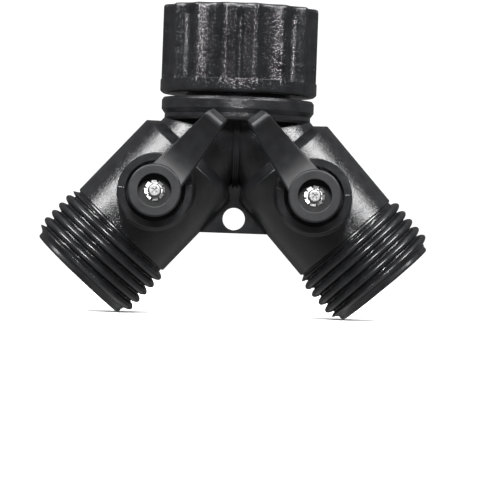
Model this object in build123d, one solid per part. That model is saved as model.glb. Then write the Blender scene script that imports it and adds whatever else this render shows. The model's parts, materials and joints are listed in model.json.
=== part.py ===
from build123d import *
import os
from math import asin, atan, cos, degrees, hypot, radians, sin, sqrt

# Two-way garden-hose splitter with a quarter-turn ball valve in each arm.
# Millimetres. Origin: centre of the inlet nut's open face. +Z: along the inlet axis towards the tap.
# X: across the two outlets. -Y: the side with the valve levers.

# --- Garden hose thread (3/4-11.5 NH) ---
THREAD_PITCH = 25.4 / 11.5
MALE_CREST_R = 13.5
MALE_ROOT_R = 12.05
FEMALE_ROOT_R = 13.6
FEMALE_CREST_R = 12.3
CREST_WIDTH = 0.5
FLANK_ANGLE = 30.0
ROOT_OVERLAP = 0.15

# --- Inlet swivel nut ---
NUT_R = 16.85
NUT_HEIGHT = 19.0
NUT_BAND_HEIGHT = 3.0
NUT_WEB_THICKNESS = 3.0
NUT_WEB_HOLE_R = 11.3
NUT_CHAMBER_R = 12.6
NUT_THREAD_START = 11.1
NUT_ENTRY_R = 14.0
NUT_ENTRY_DEPTH = 2.0
NUT_ENTRY_CHAMFER = 0.35
SCALLOP_COUNT = 16
SCALLOP_DEPTH = 1.1
SCALLOP_WIDTH = 5.6
GROOVE_R = 0.75
GROOVE_CENTRE_R = 15.9
GROOVE_TOP_BELOW_FACE = 2.3

# --- Body: collar, neck and hub on the inlet axis ---
COLLAR_GAP = 0.8
COLLAR_R = 16.4
COLLAR_HEIGHT = 3.3
NECK_R = 10.9
NECK_BORE_R = 8.65
NUT_TOP_PLAY = 0.3
HUB_R = 15.7
HUB_HEIGHT = 1.5
CHAMBER_R = 6.4

collar_top = -NUT_HEIGHT - COLLAR_GAP
collar_bottom = collar_top - COLLAR_HEIGHT
web_top = -NUT_HEIGHT + NUT_WEB_THICKNESS
neck_top = web_top + NUT_TOP_PLAY

# --- Tailpiece, its O-ring and the inlet washer ---
SLEEVE_FLANGE_R = 12.0
SLEEVE_FLANGE_HEIGHT = 1.7
SLEEVE_TUBE_R = 8.6
SLEEVE_TUBE_LENGTH = 6.8
SLEEVE_BORE_R = 6.4
SLEEVE_RING_R = 0.7
WASHER_R = 12.2
WASHER_HOLE_R = 7.6
WASHER_THICKNESS = 2.8
washer_bottom = neck_top + SLEEVE_FLANGE_HEIGHT

# --- Arms: distances run along each outlet axis from where it crosses the inlet axis ---
ARM_ANGLE = 42.0
ARM_CROSSING_ABOVE_COLLAR_BOTTOM = 1.2
ARM_NECK_R = 10.2
ARM_TUBE_R = 12.5
SHOULDER_START = 13.2
SHOULDER_END = 15.2
SHOULDER_FILLET = 0.4
VALVE_AT = 24.8
SEAM_AT = 36.2
ARM_END = 49.4
ARM_BORE_R = 5.7
SOCKET_R = 10.4
crossing_z = collar_bottom + ARM_CROSSING_ABOVE_COLLAR_BOTTOM

# --- Outlet ends ---
OUTLET_LEAD_R = 11.85
OUTLET_LEAD_LENGTH = 1.1
OUTLET_MOUTH_R = 7.95
OUTLET_MOUTH_DEPTH = 7.0
SHANK_R = 10.3

# --- Rib between the arms and fixing web ---
RIB_WIDTH = 1.1
RIB_RISE = 0.7
WEB_THICKNESS = 2.4
WEB_BOTTOM_BELOW_COLLAR = 25.5
WEB_HOLE_BELOW_COLLAR = 22.4
WEB_HOLE_R = 2.4

# --- Valve: heights are measured from the arm's axis towards the lever ---
BALL_R = 8.2
BALL_BORE_R = 5.5
BALL_SLOT_WIDTH = 3.2
BALL_SLOT_FLOOR = 6.2
SEAT_BACK = 8.0
SEAT_FRONT = 4.3
SEAT_R = 10.3
SEAT_CLEARANCE = 0.15
TOWER_R = 7.95
TOWER_TOP = 22.0
TOWER_POCKET_R = 6.3
TOWER_FILLET = 0.8
TOWER_POCKET_FLOOR = 17.5
WINDOW_DEPTH = 1.4
STEM_BORE_R = 3.3
STEM_R = 3.24
STEM_COLLAR_R = 3.9
STEM_COLLAR_BOTTOM = 9.0
STEM_COLLAR_TOP = 10.3
STEM_COLLAR_ROOM = 0.35
STEM_SHOULDER = 18.0
STEM_TOP = 23.2
STEM_RING_HEIGHTS = (12.4, 15.4)
STEM_RING_R = 0.52
DRIVE_R = 2.9
DRIVE_FLAT = 2.1

# --- Lever, its screw and lock washer ---
LEVER_REST_ANGLE = 3.5
LEVER_TRAVEL = 90.0
LEVER_STOP_CLEARANCE = 1.0
LEVER_LENGTH = 21.0
LEVER_ROOT_WIDTH = 8.7
LEVER_TIP_WIDTH = 3.9
LEVER_UNDERSIDE = 21.0
LEVER_HUB_R = 5.5
LEVER_HUB_BOTTOM = 20.4
LEVER_HUB_TOP = 27.2
LEVER_RECESS_R = 3.5
LEVER_RECESS_FLOOR = 24.4
LEVER_CREASE_AT = 4.0
LEVER_TIP_TOP = 32.7
LEVER_FILLET = 0.4
SCREW_HEAD_R = 1.4
SCREW_HEAD_HEIGHT = 0.95
SCREW_SHANK_R = 1.1
SCREW_LENGTH = 6.0
LOCK_WASHER_R = 2.1
LOCK_WASHER_RING_R = 1.6
LOCK_WASHER_THICKNESS = 0.4
LOCK_WASHER_TEETH = 8

SIDES = {"left": -1, "right": 1}


def cylinder(radius, bottom, top):
    """Solid cylinder on the local Z axis between two heights."""
    return Pos(0, 0, bottom) * Cylinder(radius, top - bottom, align=(Align.CENTER, Align.CENTER, Align.MIN))


def ring(outer, inner, bottom, top):
    """Flat ring on the local Z axis."""
    return cylinder(outer, bottom, top) - cylinder(inner, bottom - 1, top + 1)


def turned(*outline):
    """Solid turned about the local Z axis from (radius, height) corners."""
    return revolve(Plane.XZ * make_face(Polyline(*outline, close=True)), Axis.Z)


def o_ring(wall_radius, section_radius, height):
    """O-ring whose outer edge reaches the wall radius."""
    return Pos(0, 0, height) * Torus(wall_radius - section_radius, section_radius)


def edges_where(shape, frame, test):
    """Edges of a shape on which every sampled point passes the test in the frame's own coordinates."""
    stations = (0.02, 0.25, 0.5, 0.75, 0.98)
    return [e for e in shape.edges() if all(test(frame.to_local_coords(e @ u)) for u in stations)]


def thread_ridge(root_r, crest_r, length):
    """Right-handed ridge of the hose thread, rising from root_r to crest_r over a length from Z = 0."""
    outward = 1 if crest_r > root_r else -1
    rise = abs(crest_r - root_r)
    half_crest = CREST_WIDTH / 2
    half_base = half_crest + rise * sin(radians(FLANK_ANGLE)) / cos(radians(FLANK_ANGLE))
    crest_round = 0.12
    helix = Helix(THREAD_PITCH, length, root_r)
    section_plane = Plane(origin=helix @ 0, x_dir=(outward, 0, 0), z_dir=helix % 0)
    edge_x = rise - crest_round
    outline = Curve() + [
        Line((-ROOT_OVERLAP, half_base), (edge_x, half_crest)),
        ThreePointArc((edge_x, half_crest), (rise, 0), (edge_x, -half_crest)),
        Line((edge_x, -half_crest), (-ROOT_OVERLAP, -half_base)),
        Line((-ROOT_OVERLAP, -half_base), (-ROOT_OVERLAP, half_base)),
    ]
    return sweep(section_plane * make_face(outline), path=helix, is_frenet=True)


def arm_frame(side):
    """Frame of one arm: Z runs down the outlet axis from the crossing point, X towards the lever."""
    lean = radians(ARM_ANGLE)
    return Plane(origin=(0, 0, crossing_z), x_dir=(0, -1, 0), z_dir=(side * sin(lean), 0, -cos(lean)))


def valve_frame(side, angle=0.0):
    """Frame of one valve: Z rises to the lever, X points up the arm, turned by an angle towards closed."""
    lean = radians(ARM_ANGLE - angle)
    centre = arm_frame(side).from_local_coords((0, 0, VALVE_AT))
    return Plane(origin=centre, x_dir=(-side * sin(lean), 0, cos(lean)), z_dir=(0, -1, 0))


def swivel_nut():
    """Ribbed nut with the female hose thread, turning on the neck behind the tailpiece flange."""
    bottom = -NUT_HEIGHT
    entry_floor = -NUT_ENTRY_DEPTH
    nut = turned(
        (NUT_WEB_HOLE_R, bottom),
        (NUT_R - 0.7, bottom),
        (NUT_R, bottom + 0.55),
        (NUT_R, -0.6),
        (NUT_R - 0.18, -0.18),
        (NUT_R - 0.6, 0),
        (NUT_ENTRY_R + NUT_ENTRY_CHAMFER, 0),
        (NUT_ENTRY_R, -NUT_ENTRY_CHAMFER),
        (NUT_ENTRY_R, entry_floor),
        (FEMALE_ROOT_R, entry_floor - 0.4),
        (FEMALE_ROOT_R, -NUT_THREAD_START + 1.0),
        (NUT_CHAMBER_R, -NUT_THREAD_START),
        (NUT_CHAMBER_R, web_top),
        (NUT_WEB_HOLE_R, web_top),
    )
    half_width = SCALLOP_WIDTH / 2
    depth_at_chord = SCALLOP_DEPTH - (NUT_R - sqrt(NUT_R**2 - half_width**2))
    scallop_r = (half_width**2 + depth_at_chord**2) / (2 * depth_at_chord)
    rib_start = bottom + NUT_BAND_HEIGHT
    scallop = cylinder(scallop_r, rib_start, 1)
    groove = cylinder(GROOVE_R, rib_start, -GROOVE_TOP_BELOW_FACE)
    groove += Pos(0, 0, -GROOVE_TOP_BELOW_FACE) * Sphere(GROOVE_R)
    pitch_angle = 360 / SCALLOP_COUNT
    for i in range(SCALLOP_COUNT):
        turn = Rot(0, 0, -90 + i * pitch_angle)
        nut -= turn * Pos(NUT_R - SCALLOP_DEPTH + scallop_r, 0, 0) * scallop
        if i % 2 == 0:
            nut -= turn * Pos(GROOVE_CENTRE_R, 0, 0) * groove
    ridge_length = NUT_THREAD_START - NUT_ENTRY_DEPTH + THREAD_PITCH
    ridge = Pos(0, 0, -NUT_THREAD_START - THREAD_PITCH / 2) * thread_ridge(
        FEMALE_ROOT_R, FEMALE_CREST_R, ridge_length
    )
    envelope = turned(
        (FEMALE_CREST_R - 1, -NUT_THREAD_START + 1.2),
        (FEMALE_ROOT_R + 0.3, -NUT_THREAD_START + 1.2),
        (FEMALE_ROOT_R + 0.3, entry_floor - 0.6),
        (FEMALE_CREST_R - 1, entry_floor - 2.9),
    )
    return nut + (ridge & envelope)


def swivel_sleeve():
    """White tailpiece: its flange holds the nut, its tube is fixed in the body's neck."""
    tube_end = washer_bottom - SLEEVE_FLANGE_HEIGHT - SLEEVE_TUBE_LENGTH
    sleeve = turned(
        (SLEEVE_BORE_R, tube_end),
        (SLEEVE_TUBE_R - 0.4, tube_end),
        (SLEEVE_TUBE_R, tube_end + 0.4),
        (SLEEVE_TUBE_R, neck_top),
        (SLEEVE_FLANGE_R, neck_top),
        (SLEEVE_FLANGE_R, washer_bottom),
        (SLEEVE_BORE_R + 0.9, washer_bottom),
        (SLEEVE_BORE_R, washer_bottom - 0.9),
    )
    groove_floor = NECK_BORE_R - 2 * SLEEVE_RING_R
    return sleeve - ring(SLEEVE_TUBE_R + 1, groove_floor, collar_top - 0.95, collar_top + 0.95)


def inlet_washer():
    """Rubber washer that the tap's end presses on."""
    top = washer_bottom + WASHER_THICKNESS
    return turned(
        (WASHER_HOLE_R + 0.3, washer_bottom),
        (WASHER_R - 0.3, washer_bottom),
        (WASHER_R, washer_bottom + 0.3),
        (WASHER_R, top - 0.3),
        (WASHER_R - 0.3, top),
        (WASHER_HOLE_R + 0.3, top),
        (WASHER_HOLE_R, top - 0.3),
        (WASHER_HOLE_R, washer_bottom + 0.3),
    )


def lever_half_angle():
    """Half of the angle that the lever's arm fills at the inner edge of the tower's wall."""
    half_taper = (LEVER_ROOT_WIDTH - LEVER_TIP_WIDTH) / LEVER_LENGTH / 2
    reach = LEVER_ROOT_WIDTH / 2 / TOWER_POCKET_R
    return degrees(asin(reach / hypot(1, half_taper)) - atan(half_taper))


def tower(side):
    """Valve tower on one arm, with the lower wall that lets the lever turn between its two stops."""
    outer = cylinder(TOWER_R, 0, TOWER_TOP)
    outer = chamfer(outer.edges().group_by(Axis.Z)[-1], 0.25)
    margin = lever_half_angle() + LEVER_STOP_CLEARANCE
    sector_angle = LEVER_TRAVEL + 2 * margin
    sector_start = -margin if side < 0 else margin - sector_angle
    sector = Rot(0, 0, sector_start) * Cylinder(
        TOWER_R + 1, 2 * WINDOW_DEPTH, arc_size=sector_angle, align=(Align.NONE, Align.NONE, Align.CENTER)
    )
    return valve_frame(side).location * (outer - Pos(0, 0, TOWER_TOP) * sector)


def on_tower_foot(point):
    """Where a tower's wall meets its arm."""
    return abs(hypot(point.X, point.Y) - TOWER_R) < 0.02 and 5 < point.Z < 15


def on_shoulder_rim(point):
    """Where an arm's cone reaches the full size of its tube."""
    return abs(point.Z - SHOULDER_END) < 0.02


def body():
    """Y-shaped body: collar and neck on top, two arms with valve towers, rib and fixing web between them."""
    collar = turned(
        (0, collar_bottom - HUB_HEIGHT),
        (HUB_R - 0.5, collar_bottom - HUB_HEIGHT),
        (HUB_R, collar_bottom - HUB_HEIGHT + 0.5),
        (HUB_R, collar_bottom),
        (COLLAR_R - 0.55, collar_bottom),
        (COLLAR_R, collar_bottom + 0.8),
        (COLLAR_R, collar_top - 0.55),
        (COLLAR_R - 0.4, collar_top),
        (NECK_R, collar_top),
        (NECK_R, neck_top),
        (0, neck_top),
    )
    arm = turned(
        (0, 0),
        (ARM_NECK_R, 0),
        (ARM_NECK_R, SHOULDER_START),
        (ARM_TUBE_R, SHOULDER_END),
        (ARM_TUBE_R, SEAM_AT - 0.25),
        (ARM_TUBE_R - 0.2, SEAM_AT),
        (0, SEAM_AT),
    )
    above = Pos(0, 0, crossing_z) * Box(80, 80, 40, align=(Align.CENTER, Align.CENTER, Align.MIN))
    rib_plate = Pos(0, 0, crossing_z) * Box(
        RIB_WIDTH, 2 * ARM_TUBE_R, 2 * ARM_NECK_R, align=(Align.CENTER, Align.CENTER, Align.MAX)
    )
    web_top_z = collar_bottom - ARM_NECK_R
    web_bottom_z = collar_bottom - WEB_BOTTOM_BELOW_COLLAR
    web = Pos(0, 0, web_bottom_z) * Box(
        16, WEB_THICKNESS, web_top_z - web_bottom_z, align=(Align.CENTER, Align.CENTER, Align.MIN)
    )
    solid = collar + web
    for side in SIDES.values():
        place = arm_frame(side).location
        solid += place * arm - above
        solid += tower(side)
        solid += rib_plate & (place * cylinder(ARM_NECK_R + RIB_RISE, 0, SHOULDER_START + 4))
    for side in SIDES.values():
        solid = fillet(edges_where(solid, valve_frame(side), on_tower_foot), TOWER_FILLET)
        solid = fillet(edges_where(solid, arm_frame(side), on_shoulder_rim), SHOULDER_FILLET)
    solid -= cylinder(NECK_BORE_R, collar_bottom + 0.3, neck_top + 1)
    solid -= cylinder(CHAMBER_R, crossing_z - 3, neck_top)
    solid -= Pos(0, 0, collar_bottom - WEB_HOLE_BELOW_COLLAR) * Rot(90, 0, 0) * Cylinder(WEB_HOLE_R, 10)
    for side in SIDES.values():
        place = arm_frame(side).location
        valve_place = valve_frame(side).location
        solid -= place * cylinder(ARM_BORE_R, 0, VALVE_AT)
        solid -= place * cylinder(SOCKET_R, VALVE_AT - SEAT_BACK, SEAM_AT + 1)
        solid -= valve_place * cylinder(STEM_COLLAR_R + 0.4, 0, STEM_COLLAR_TOP + STEM_COLLAR_ROOM)
        solid -= valve_place * cylinder(STEM_BORE_R, 0, TOWER_TOP)
        solid -= valve_place * cylinder(TOWER_POCKET_R, TOWER_POCKET_FLOOR, TOWER_TOP + 1)
    return solid


def outlet(side):
    """Outlet end with the male hose thread; its shank is fixed in the arm's socket."""
    shank_start = VALVE_AT + SEAT_BACK
    lead_start = ARM_END - OUTLET_LEAD_LENGTH
    core = turned(
        (ARM_BORE_R, shank_start),
        (SHANK_R, shank_start),
        (SHANK_R, SEAM_AT),
        (MALE_ROOT_R, SEAM_AT),
        (MALE_ROOT_R, lead_start - 0.2),
        (OUTLET_LEAD_R, lead_start),
        (OUTLET_LEAD_R, ARM_END - 0.2),
        (OUTLET_LEAD_R - 0.2, ARM_END),
        (OUTLET_MOUTH_R + 0.25, ARM_END),
        (OUTLET_MOUTH_R, ARM_END - 0.25),
        (OUTLET_MOUTH_R, ARM_END - OUTLET_MOUTH_DEPTH),
        (ARM_BORE_R, ARM_END - OUTLET_MOUTH_DEPTH - 1.2),
    )
    ridge = Pos(0, 0, SEAM_AT - THREAD_PITCH) * thread_ridge(
        MALE_ROOT_R, MALE_CREST_R, lead_start - SEAM_AT + 2 * THREAD_PITCH
    )
    crest_limit = MALE_CREST_R + 0.5
    envelope = turned(
        (MALE_ROOT_R - 1, SEAM_AT + 0.3),
        (MALE_ROOT_R + 0.1, SEAM_AT + 0.3),
        (crest_limit, SEAM_AT + 1.2),
        (crest_limit, lead_start - 1.8),
        (MALE_ROOT_R + 0.1, lead_start - 0.35),
        (MALE_ROOT_R - 1, lead_start - 0.35),
    )
    return arm_frame(side).location * (core + (ridge & envelope))


def ball(side):
    """Ball with a through bore, and a slot across its top for the stem's tang."""
    solid = Sphere(BALL_R) - Rot(0, 90, 0) * Cylinder(BALL_BORE_R, 3 * BALL_R)
    slot = Pos(0, 0, BALL_SLOT_FLOOR) * Box(
        BALL_SLOT_WIDTH, 3 * BALL_R, BALL_R, align=(Align.CENTER, Align.CENTER, Align.MIN)
    )
    return valve_frame(side, LEVER_REST_ANGLE).location * (solid - slot)


def seat(side, direction):
    """Seat ring on one side of the ball; direction is -1 towards the inlet and 1 towards the outlet."""
    start, end = sorted((direction * SEAT_BACK, direction * SEAT_FRONT))
    blank = ring(SEAT_R, ARM_BORE_R, start, end) - Sphere(BALL_R + SEAT_CLEARANCE)
    return arm_frame(side).location * Pos(0, 0, VALVE_AT) * blank


def drive_section(play, bottom, top):
    """Double-flat drive between stem and lever; play widens it for the lever's hole."""
    flats = Box(
        2 * (DRIVE_FLAT + play), 4 * DRIVE_R, top - bottom, align=(Align.CENTER, Align.CENTER, Align.MIN)
    )
    return cylinder(DRIVE_R + play, bottom, top) & Pos(0, 0, bottom) * flats


def stem(side):
    """Valve stem: tang in the ball's slot, collar under the tower, two O-ring grooves, lever flats."""
    tang_bottom = BALL_SLOT_FLOOR + 0.1
    tang = Pos(0, 0, tang_bottom) * Box(
        BALL_SLOT_WIDTH - 0.2,
        2 * STEM_COLLAR_R - 0.6,
        STEM_COLLAR_BOTTOM - tang_bottom,
        align=(Align.CENTER, Align.CENTER, Align.MIN),
    )
    solid = tang + cylinder(STEM_COLLAR_R, STEM_COLLAR_BOTTOM, STEM_COLLAR_TOP)
    solid += cylinder(STEM_R, STEM_COLLAR_TOP, STEM_SHOULDER)
    solid += drive_section(0, STEM_SHOULDER, STEM_TOP)
    groove_floor = STEM_R - 2 * STEM_RING_R
    for height in STEM_RING_HEIGHTS:
        solid -= ring(STEM_R + 1, groove_floor, height - 0.75, height + 0.75)
    solid -= cylinder(SCREW_SHANK_R, LEVER_RECESS_FLOOR - SCREW_LENGTH, STEM_TOP + 1)
    return valve_frame(side, LEVER_REST_ANGLE).location * solid


def stem_o_rings(side):
    """The two O-rings that seal the stem in the tower."""
    place = valve_frame(side, LEVER_REST_ANGLE).location
    rings = [place * o_ring(STEM_R, STEM_RING_R, height) for height in STEM_RING_HEIGHTS]
    return Compound(children=rings)


def on_blade_rim(point):
    """The blade's edges past the hub."""
    return point.X > LEVER_CREASE_AT + 0.3 or (point.X > 1 and point.Z < LEVER_UNDERSIDE + 0.5)


def lever_arm():
    """Wing of the lever: a hollow-backed blade that rises to a rounded tip and narrows along its length."""
    tip_bottom = (LEVER_LENGTH, LEVER_UNDERSIDE + 0.5)
    tip_shoulder = (LEVER_LENGTH - 1.15, LEVER_TIP_TOP - 0.9)
    tip_crown = (LEVER_LENGTH - 2.0, LEVER_TIP_TOP)
    back_end = (LEVER_LENGTH - 3.0, LEVER_TIP_TOP - 0.55)
    back_start = (LEVER_CREASE_AT, LEVER_HUB_TOP - 0.35)
    outline = Curve() + [
        Line((0, LEVER_UNDERSIDE), (LEVER_LENGTH - 0.5, LEVER_UNDERSIDE)),
        RadiusArc((LEVER_LENGTH - 0.5, LEVER_UNDERSIDE), tip_bottom, -0.5),
        Line(tip_bottom, tip_shoulder),
        ThreePointArc(tip_shoulder, (LEVER_LENGTH - 1.45, LEVER_TIP_TOP - 0.28), tip_crown),
        ThreePointArc(tip_crown, (LEVER_LENGTH - 2.6, LEVER_TIP_TOP - 0.13), back_end),
        Spline(
            [back_end, (14.6, 29.0), (10.8, 26.9), (7.2, 26.3), back_start],
            tangents=[(-0.62, -0.78), (-0.94, 0.34)],
        ),
        Line(back_start, (0, LEVER_HUB_TOP - 0.35)),
        Line((0, LEVER_HUB_TOP - 0.35), (0, LEVER_UNDERSIDE)),
    ]
    blade = extrude(Plane.XZ * make_face(outline), LEVER_ROOT_WIDTH, both=True)
    plan = Polyline(
        (0, LEVER_ROOT_WIDTH / 2),
        (LEVER_LENGTH, LEVER_TIP_WIDTH / 2),
        (LEVER_LENGTH + 1, LEVER_TIP_WIDTH / 2),
        (LEVER_LENGTH + 1, -LEVER_TIP_WIDTH / 2),
        (LEVER_LENGTH, -LEVER_TIP_WIDTH / 2),
        (0, -LEVER_ROOT_WIDTH / 2),
        close=True,
    )
    blade &= extrude(make_face(plan), 60)
    return fillet(edges_where(blade, Plane.XY, on_blade_rim), LEVER_FILLET)


def lever(side):
    """Quarter-turn lever: round hub with a screw recess, and the wing that the fingers turn."""
    hub = cylinder(LEVER_HUB_R, LEVER_HUB_BOTTOM, LEVER_HUB_TOP)
    hub = fillet(hub.edges().group_by(Axis.Z)[-1], 0.35)
    solid = hub + lever_arm()
    solid -= cylinder(LEVER_RECESS_R, LEVER_RECESS_FLOOR, LEVER_HUB_TOP + 10)
    solid -= drive_section(0.06, LEVER_HUB_BOTTOM - 1, STEM_TOP + 0.2)
    solid -= cylinder(SCREW_SHANK_R + 0.1, STEM_TOP, LEVER_HUB_TOP)
    return valve_frame(side, LEVER_REST_ANGLE).location * solid


def lock_washer(side):
    """External-tooth lock washer on the floor of the lever's recess."""
    top = LEVER_RECESS_FLOOR + LOCK_WASHER_THICKNESS
    disc = ring(LOCK_WASHER_RING_R, SCREW_SHANK_R + 0.1, LEVER_RECESS_FLOOR, top)
    tooth = Pos(0, 0, LEVER_RECESS_FLOOR) * Box(
        2 * LOCK_WASHER_R, 0.62, LOCK_WASHER_THICKNESS, align=(Align.CENTER, Align.CENTER, Align.MIN)
    )
    core = cylinder(SCREW_SHANK_R + 0.3, LEVER_RECESS_FLOOR - 1, top + 1)
    for i in range(LOCK_WASHER_TEETH // 2):
        disc += Rot(0, 0, i * 360 / LOCK_WASHER_TEETH) * tooth - core
    return valve_frame(side, LEVER_REST_ANGLE).location * disc


def lever_screw(side):
    """Pan-head screw that holds the lever down on the stem."""
    under_head = LEVER_RECESS_FLOOR + LOCK_WASHER_THICKNESS
    head = cylinder(SCREW_HEAD_R, under_head, under_head + SCREW_HEAD_HEIGHT)
    head = fillet(head.edges().group_by(Axis.Z)[-1], 0.4)
    cross_depth = 0.5
    bar = Pos(0, 0, under_head + SCREW_HEAD_HEIGHT - cross_depth) * Box(
        1.5, 0.34, 1, align=(Align.CENTER, Align.CENTER, Align.MIN)
    )
    head -= bar + Rot(0, 0, 90) * bar
    shank = cylinder(SCREW_SHANK_R, LEVER_RECESS_FLOOR - SCREW_LENGTH + 0.5, under_head)
    return valve_frame(side, LEVER_REST_ANGLE).location * (head + shank)


def all_nodes():
    """Every piece of the splitter by node name."""
    nodes = {
        "body": body(),
        "swivel_nut": swivel_nut(),
        "swivel_sleeve": swivel_sleeve(),
        "sleeve_o_ring": o_ring(NECK_BORE_R, SLEEVE_RING_R, collar_top),
        "inlet_washer": inlet_washer(),
    }
    for name, side in SIDES.items():
        nodes[f"outlet_{name}"] = outlet(side)
        nodes[f"ball_{name}"] = ball(side)
        nodes[f"seat_inner_{name}"] = seat(side, -1)
        nodes[f"seat_outer_{name}"] = seat(side, 1)
        nodes[f"stem_{name}"] = stem(side)
        nodes[f"stem_o_rings_{name}"] = stem_o_rings(side)
        nodes[f"lever_{name}"] = lever(side)
        nodes[f"lock_washer_{name}"] = lock_washer(side)
        nodes[f"lever_screw_{name}"] = lever_screw(side)
    return nodes


os.makedirs("parts", exist_ok=True)
for node_name, shape in all_nodes().items():
    export_step(shape, f"parts/{node_name}.step")
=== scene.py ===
import json
import logging
import math
from collections.abc import Iterable, Sequence
from dataclasses import dataclass, field
from enum import Enum

import bpy
from mathutils import Matrix, Vector

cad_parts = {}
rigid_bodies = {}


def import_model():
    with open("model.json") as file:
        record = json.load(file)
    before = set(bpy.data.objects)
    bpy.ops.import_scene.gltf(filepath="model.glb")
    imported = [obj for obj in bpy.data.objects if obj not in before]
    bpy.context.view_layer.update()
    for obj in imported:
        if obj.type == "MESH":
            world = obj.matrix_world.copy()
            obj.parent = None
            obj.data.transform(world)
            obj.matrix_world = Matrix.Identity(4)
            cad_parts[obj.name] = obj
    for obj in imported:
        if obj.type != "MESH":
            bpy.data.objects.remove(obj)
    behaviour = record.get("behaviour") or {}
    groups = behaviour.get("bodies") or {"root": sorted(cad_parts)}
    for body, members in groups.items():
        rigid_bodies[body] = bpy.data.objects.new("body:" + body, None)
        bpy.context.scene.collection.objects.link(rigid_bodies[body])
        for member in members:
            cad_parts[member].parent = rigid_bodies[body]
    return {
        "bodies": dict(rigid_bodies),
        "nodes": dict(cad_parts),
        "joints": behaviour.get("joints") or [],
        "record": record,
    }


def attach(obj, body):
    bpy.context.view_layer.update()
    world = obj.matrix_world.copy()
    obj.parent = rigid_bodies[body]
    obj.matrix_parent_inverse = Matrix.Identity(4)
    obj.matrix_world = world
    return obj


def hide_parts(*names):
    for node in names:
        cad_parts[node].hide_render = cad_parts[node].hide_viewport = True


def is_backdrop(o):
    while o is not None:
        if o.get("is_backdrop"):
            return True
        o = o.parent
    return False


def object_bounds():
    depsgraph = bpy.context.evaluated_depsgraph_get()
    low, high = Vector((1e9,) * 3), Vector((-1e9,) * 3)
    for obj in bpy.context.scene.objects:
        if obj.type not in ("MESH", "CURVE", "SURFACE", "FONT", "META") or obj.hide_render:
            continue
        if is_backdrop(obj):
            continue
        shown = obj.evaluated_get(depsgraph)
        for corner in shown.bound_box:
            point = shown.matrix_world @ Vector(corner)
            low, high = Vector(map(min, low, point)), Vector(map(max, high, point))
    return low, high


# Looks of a two-way garden-hose splitter with a lever valve in each arm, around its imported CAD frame.
# Shapes are worked out in millimetres and scaled to metres as they are put in place.

MM = 0.001
LOG = logging.getLogger("hose_splitter")

THREAD_PITCH = 25.4 / 11.5
ARM_ANGLE = 42.0
ARM_CROSSING = -21.9
VALVE_AT = 24.8
LEVER_REST_ANGLE = 3.5

SEAM_REACH = 0.0005
CREST_SOFTNESS = 0.12
CREST_FULLNESS = 0.62
RUN_IN_SOFTNESS = 0.2

Socket = bpy.types.NodeSocket
Number = float | int | Socket


class Side(Enum):
    """The two arms, by the sign of their outlet's X."""

    LEFT = -1
    RIGHT = 1

    @property
    def label(self) -> str:
        """The arm's name as the CAD nodes spell it."""
        return self.name.lower()


@dataclass(frozen=True)
class Grain:
    """Grain that a mould face leaves: its size and depth in millimetres, and the roughness between."""

    size: float
    depth: float
    roughness: float


class Skin(Enum):
    """How a mould face was finished."""

    SPARKED = Grain(0.2, 0.06, 0.2)
    COARSE = Grain(0.21, 0.085, 0.13)
    SATIN = Grain(0.14, 0.003, 0.43)
    POLISHED = Grain(0.8, 0.003, 0.24)


# --- Node graphs ---------------------------------------------------------------------------------


class NodeGraph:
    """A node tree under construction, with short calls for adding nodes and arithmetic."""

    def __init__(self, tree: bpy.types.NodeTree) -> None:
        """Starts on a tree whose nodes are cleared."""
        self.tree = tree
        tree.nodes.clear()

    def feed(self, socket: Socket, value: object) -> None:
        """Links a socket to another node's output, or sets its own number.

        Args:
            socket: The input to fill.
            value: An output socket, a number, a colour or a vector.
        """
        if isinstance(value, bpy.types.NodeSocket):
            self.tree.links.new(value, socket)
        else:
            socket.default_value = value

    def node(
        self, kind: str, inputs: dict[str | int, object] | None = None, **settings: object
    ) -> bpy.types.Node:
        """Adds a node.

        Args:
            kind: Blender's name for the node type.
            inputs: What each named or numbered input gets.
            **settings: Attributes of the node itself.

        Returns:
            The new node.
        """
        made = self.tree.nodes.new(kind)
        for name, value in settings.items():
            setattr(made, name, value)
        for name, value in (inputs or {}).items():
            self.feed(made.inputs[name], value)
        return made

    def maths(self, operation: str, *values: Number) -> Socket:
        """Adds one step of arithmetic.

        Args:
            operation: Blender's name for it, such as ADD or SMOOTH_MIN.
            *values: Its operands in order.

        Returns:
            The result's socket.
        """
        return self.node("ShaderNodeMath", dict(enumerate(values)), operation=operation).outputs[0]

    def ramp(self, value: Number, start: float, end: float, low: Number = 0.0, high: Number = 1.0) -> Socket:
        """Maps a value from one range smoothly onto another.

        Args:
            value: What is mapped.
            start: The value that gives low.
            end: The value that gives high.
            low: Result at and before the start.
            high: Result at and past the end.

        Returns:
            The result's socket.
        """
        spread = {"Value": value, "From Min": start, "From Max": end, "To Min": low, "To Max": high}
        return self.node("ShaderNodeMapRange", spread, interpolation_type="SMOOTHSTEP").outputs["Result"]


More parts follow.
